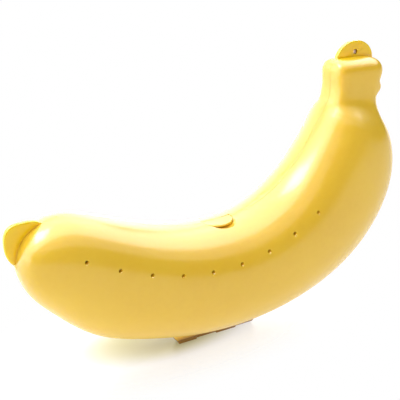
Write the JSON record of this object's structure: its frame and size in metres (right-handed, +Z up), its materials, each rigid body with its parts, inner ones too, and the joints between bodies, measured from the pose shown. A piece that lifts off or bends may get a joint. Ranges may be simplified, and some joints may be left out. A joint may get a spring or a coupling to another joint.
{
  "type": "banana carrying case",
  "caption": "Banana-shaped hard case that opens like a book on a pinned hinge along its back, with a lift-up latch flap, vent holes and a strap hole at the stem.",
  "frame": {"origin": "on the floor under the middle of the hinge, which is the middle of the case's length", "axes": "+X along the case from the blossom end to the stem, front half at -Y, +Z up, parting plane at y = 0"},
  "size_m": [0.219, 0.0522, 0.1461],
  "materials": {
    "yellow_shell": "moulded polypropylene, satin gloss, warm pale yellow",
    "yellow_tab": "moulded polypropylene, satin gloss, warm pale yellow",
    "pin_steel": "drawn steel wire"
  },
  "bodies": {
    "rear_half": {"rear_shell": "yellow_shell", "hinge_pin": "pin_steel"},
    "front_half": {"front_shell": "yellow_shell"},
    "latch": {"latch_tab": "yellow_tab"}
  },
  "joints": [
    {"name": "case_hinge", "type": "hinge", "parent": "rear_half", "child": "front_half", "pos_m": [0, 0, 0.002], "axis": [1, 0, 0], "range_deg": [0, 180]},
    {"name": "latch_pivot", "type": "hinge", "parent": "rear_half", "child": "latch", "pos_m": [0.0012, 0.0026, 0.0629], "axis": [-1, 0, 0], "range_deg": [0, 60]}
  ]
}
